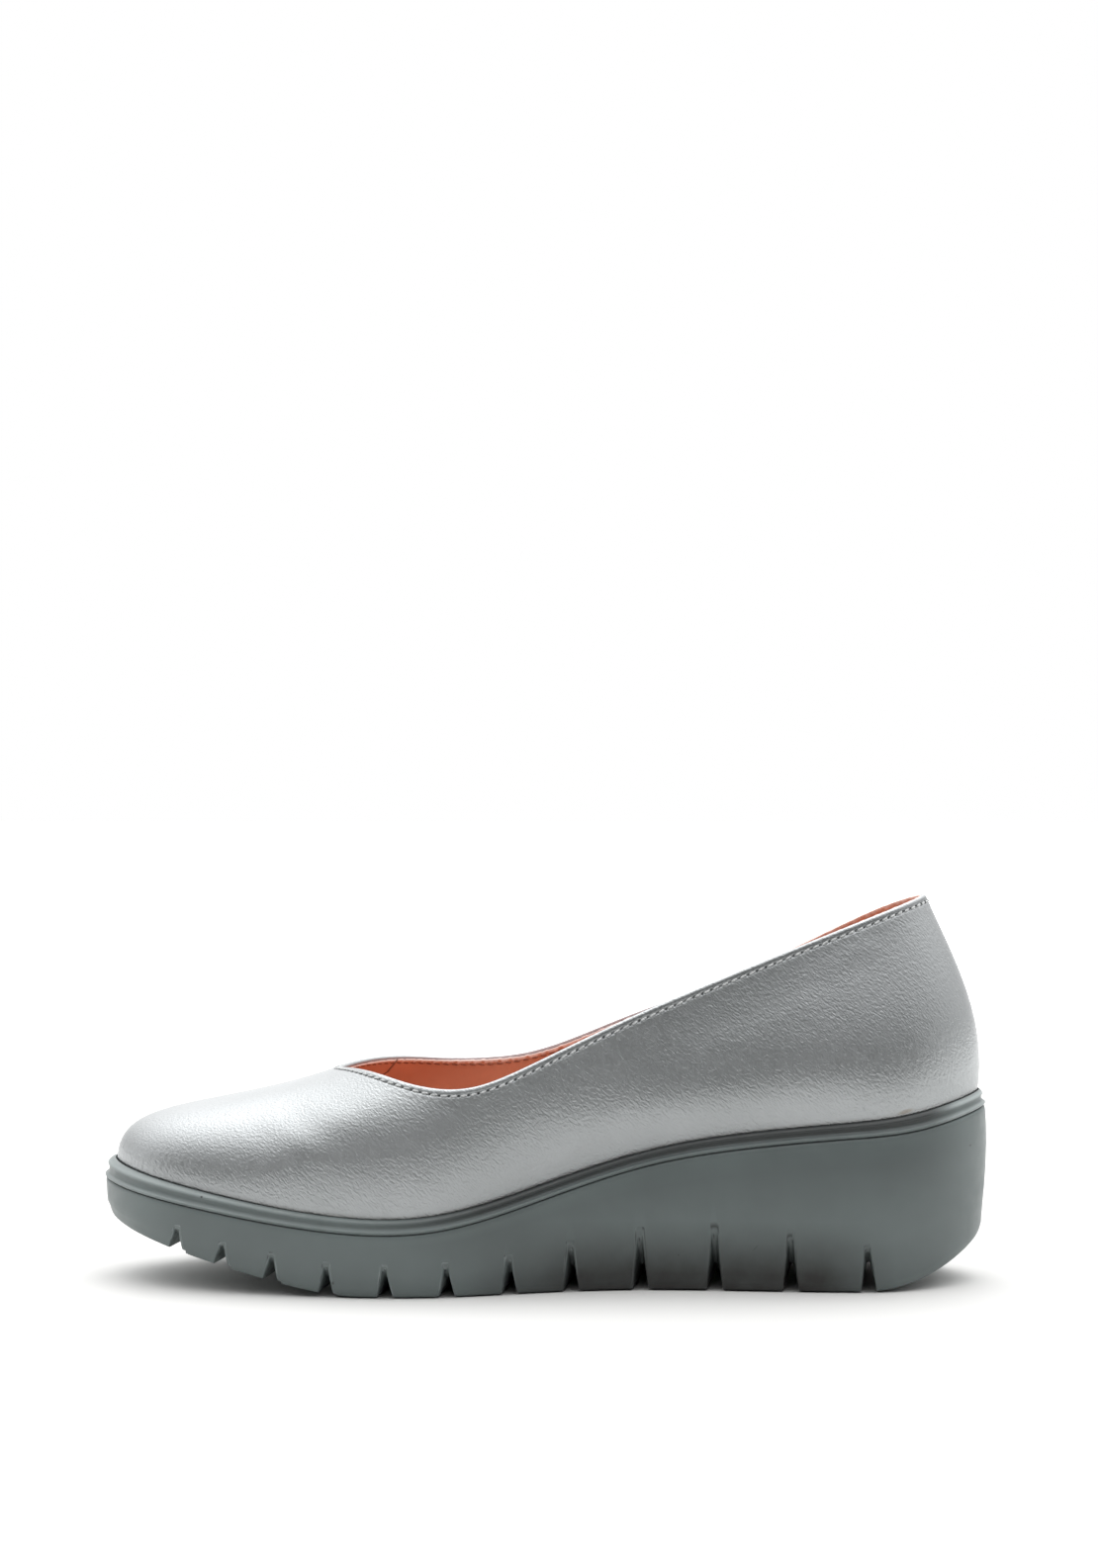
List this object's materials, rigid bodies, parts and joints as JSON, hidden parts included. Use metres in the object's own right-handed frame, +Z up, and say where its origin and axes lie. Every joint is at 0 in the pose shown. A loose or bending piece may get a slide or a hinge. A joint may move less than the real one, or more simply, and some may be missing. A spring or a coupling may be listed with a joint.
{
  "type": "wedge shoe",
  "caption": "Low-cut slip-on wedge shoe for a right foot: grey leather upper with open throat and tan lining, on a moulded wedge sole with a banded edge and grooved tread.",
  "frame": {"origin": "on the floor, under the middle of the shoe's length and width", "axes": "+X towards the heel, along the shoe's length; -X towards the toe; -Y towards the inner side of the foot; +Z up"},
  "size_m": [0.2496, 0.0909, 0.1082],
  "materials": {
    "upper_leather": "satin, slightly pearly fine-grain leather",
    "sole_rubber": "matt moulded foam rubber",
    "insole_leather": "matt orange-tan lining leather"
  },
  "bodies": {
    "root": {"upper": "upper_leather", "wedge_sole": "sole_rubber", "insole": "insole_leather"}
  },
  "joints": []
}
